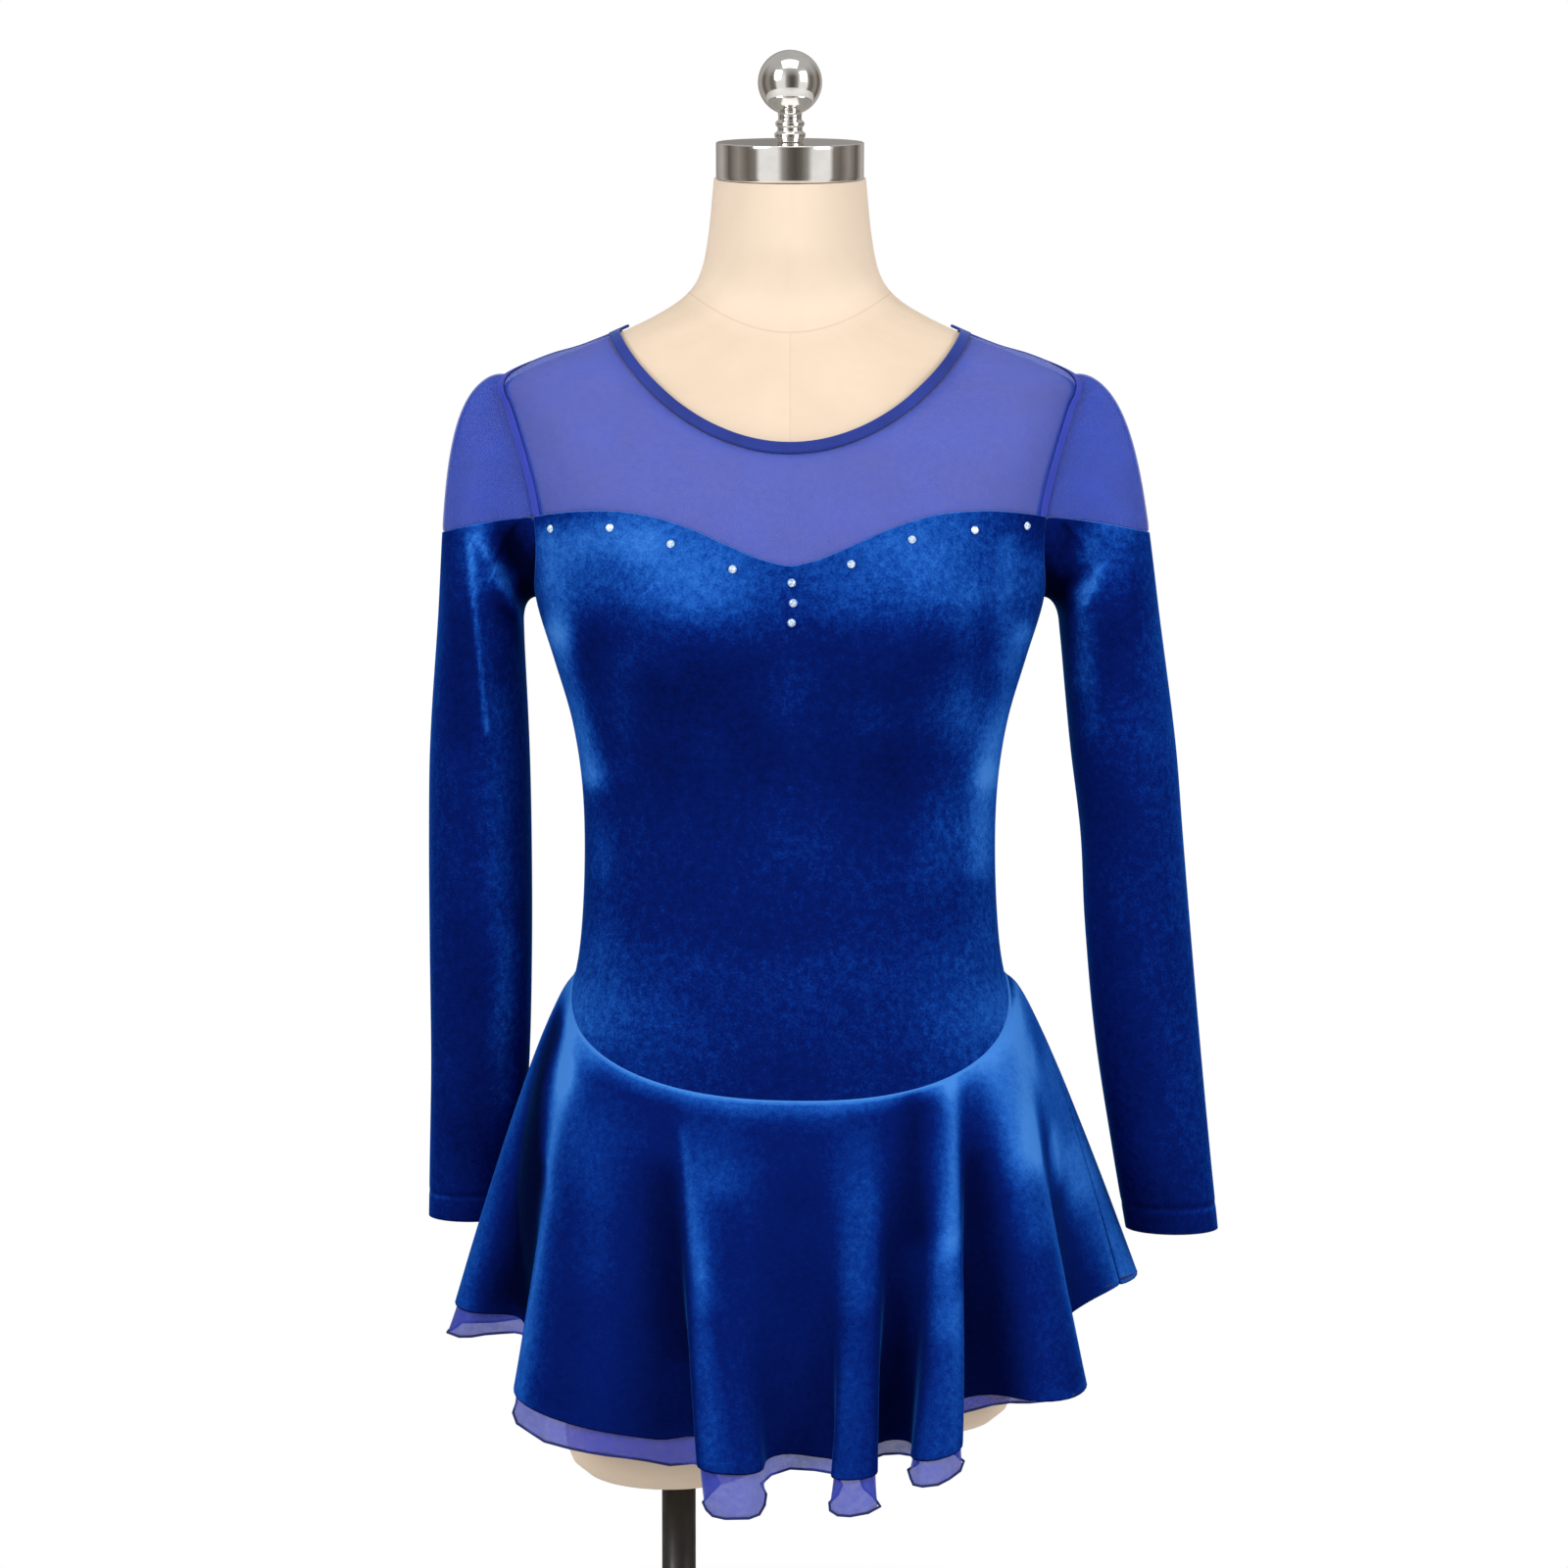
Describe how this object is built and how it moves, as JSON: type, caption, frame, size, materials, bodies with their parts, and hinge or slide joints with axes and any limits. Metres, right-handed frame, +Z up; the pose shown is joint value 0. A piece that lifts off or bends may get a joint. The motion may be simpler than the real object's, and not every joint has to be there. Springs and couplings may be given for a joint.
{
  "type": "figure skating dress on a dress form",
  "caption": "Long-sleeved velvet skating dress with a sheer yoke and a short flared double skirt, worn by a limbless dress form on a pole and a round base.",
  "frame": {"origin": "centre of the underside of the round stand base", "axes": "+Z up; the dress faces -Y; +X is the wearer's left, on the viewer's right from the front"},
  "size_m": [0.4934, 0.3431, 1.1776],
  "materials": {
    "velvet": "royal blue stretch velvet with a short shiny nap",
    "mesh": "periwinkle blue see-through stretch mesh",
    "binding": "folded mesh binding, satin",
    "chiffon": "sheer chiffon with a dark rolled hem",
    "knit": "matte stretch knit",
    "crystal": "faceted clear rhinestone",
    "form_cloth": "cream jersey cover over a smooth form",
    "chrome": "polished",
    "black_steel": "satin black"
  },
  "bodies": {
    "root": {"bodice_front": "velvet", "bodice_back": "velvet", "yoke_front": "mesh", "yoke_back": "mesh", "neck_binding": "binding", "sleeve_cap_left": "mesh", "sleeve_cap_right": "mesh", "sleeve_left": "velvet", "sleeve_right": "velvet", "skirt_front": "velvet", "skirt_back": "velvet", "underskirt_front": "chiffon", "underskirt_back": "chiffon", "briefs_front": "knit", "briefs_back": "knit", "crystal_left_1": "crystal", "crystal_left_2": "crystal", "crystal_left_3": "crystal", "crystal_left_4": "crystal", "crystal_right_1": "crystal", "crystal_right_2": "crystal", "crystal_right_3": "crystal", "crystal_right_4": "crystal", "crystal_centre_1": "crystal", "crystal_centre_2": "crystal", "crystal_centre_3": "crystal", "form_torso": "form_cloth", "neck_cap": "chrome", "finial": "chrome", "pole": "black_steel", "pole_collar": "black_steel", "stand_base": "black_steel"}
  },
  "joints": []
}
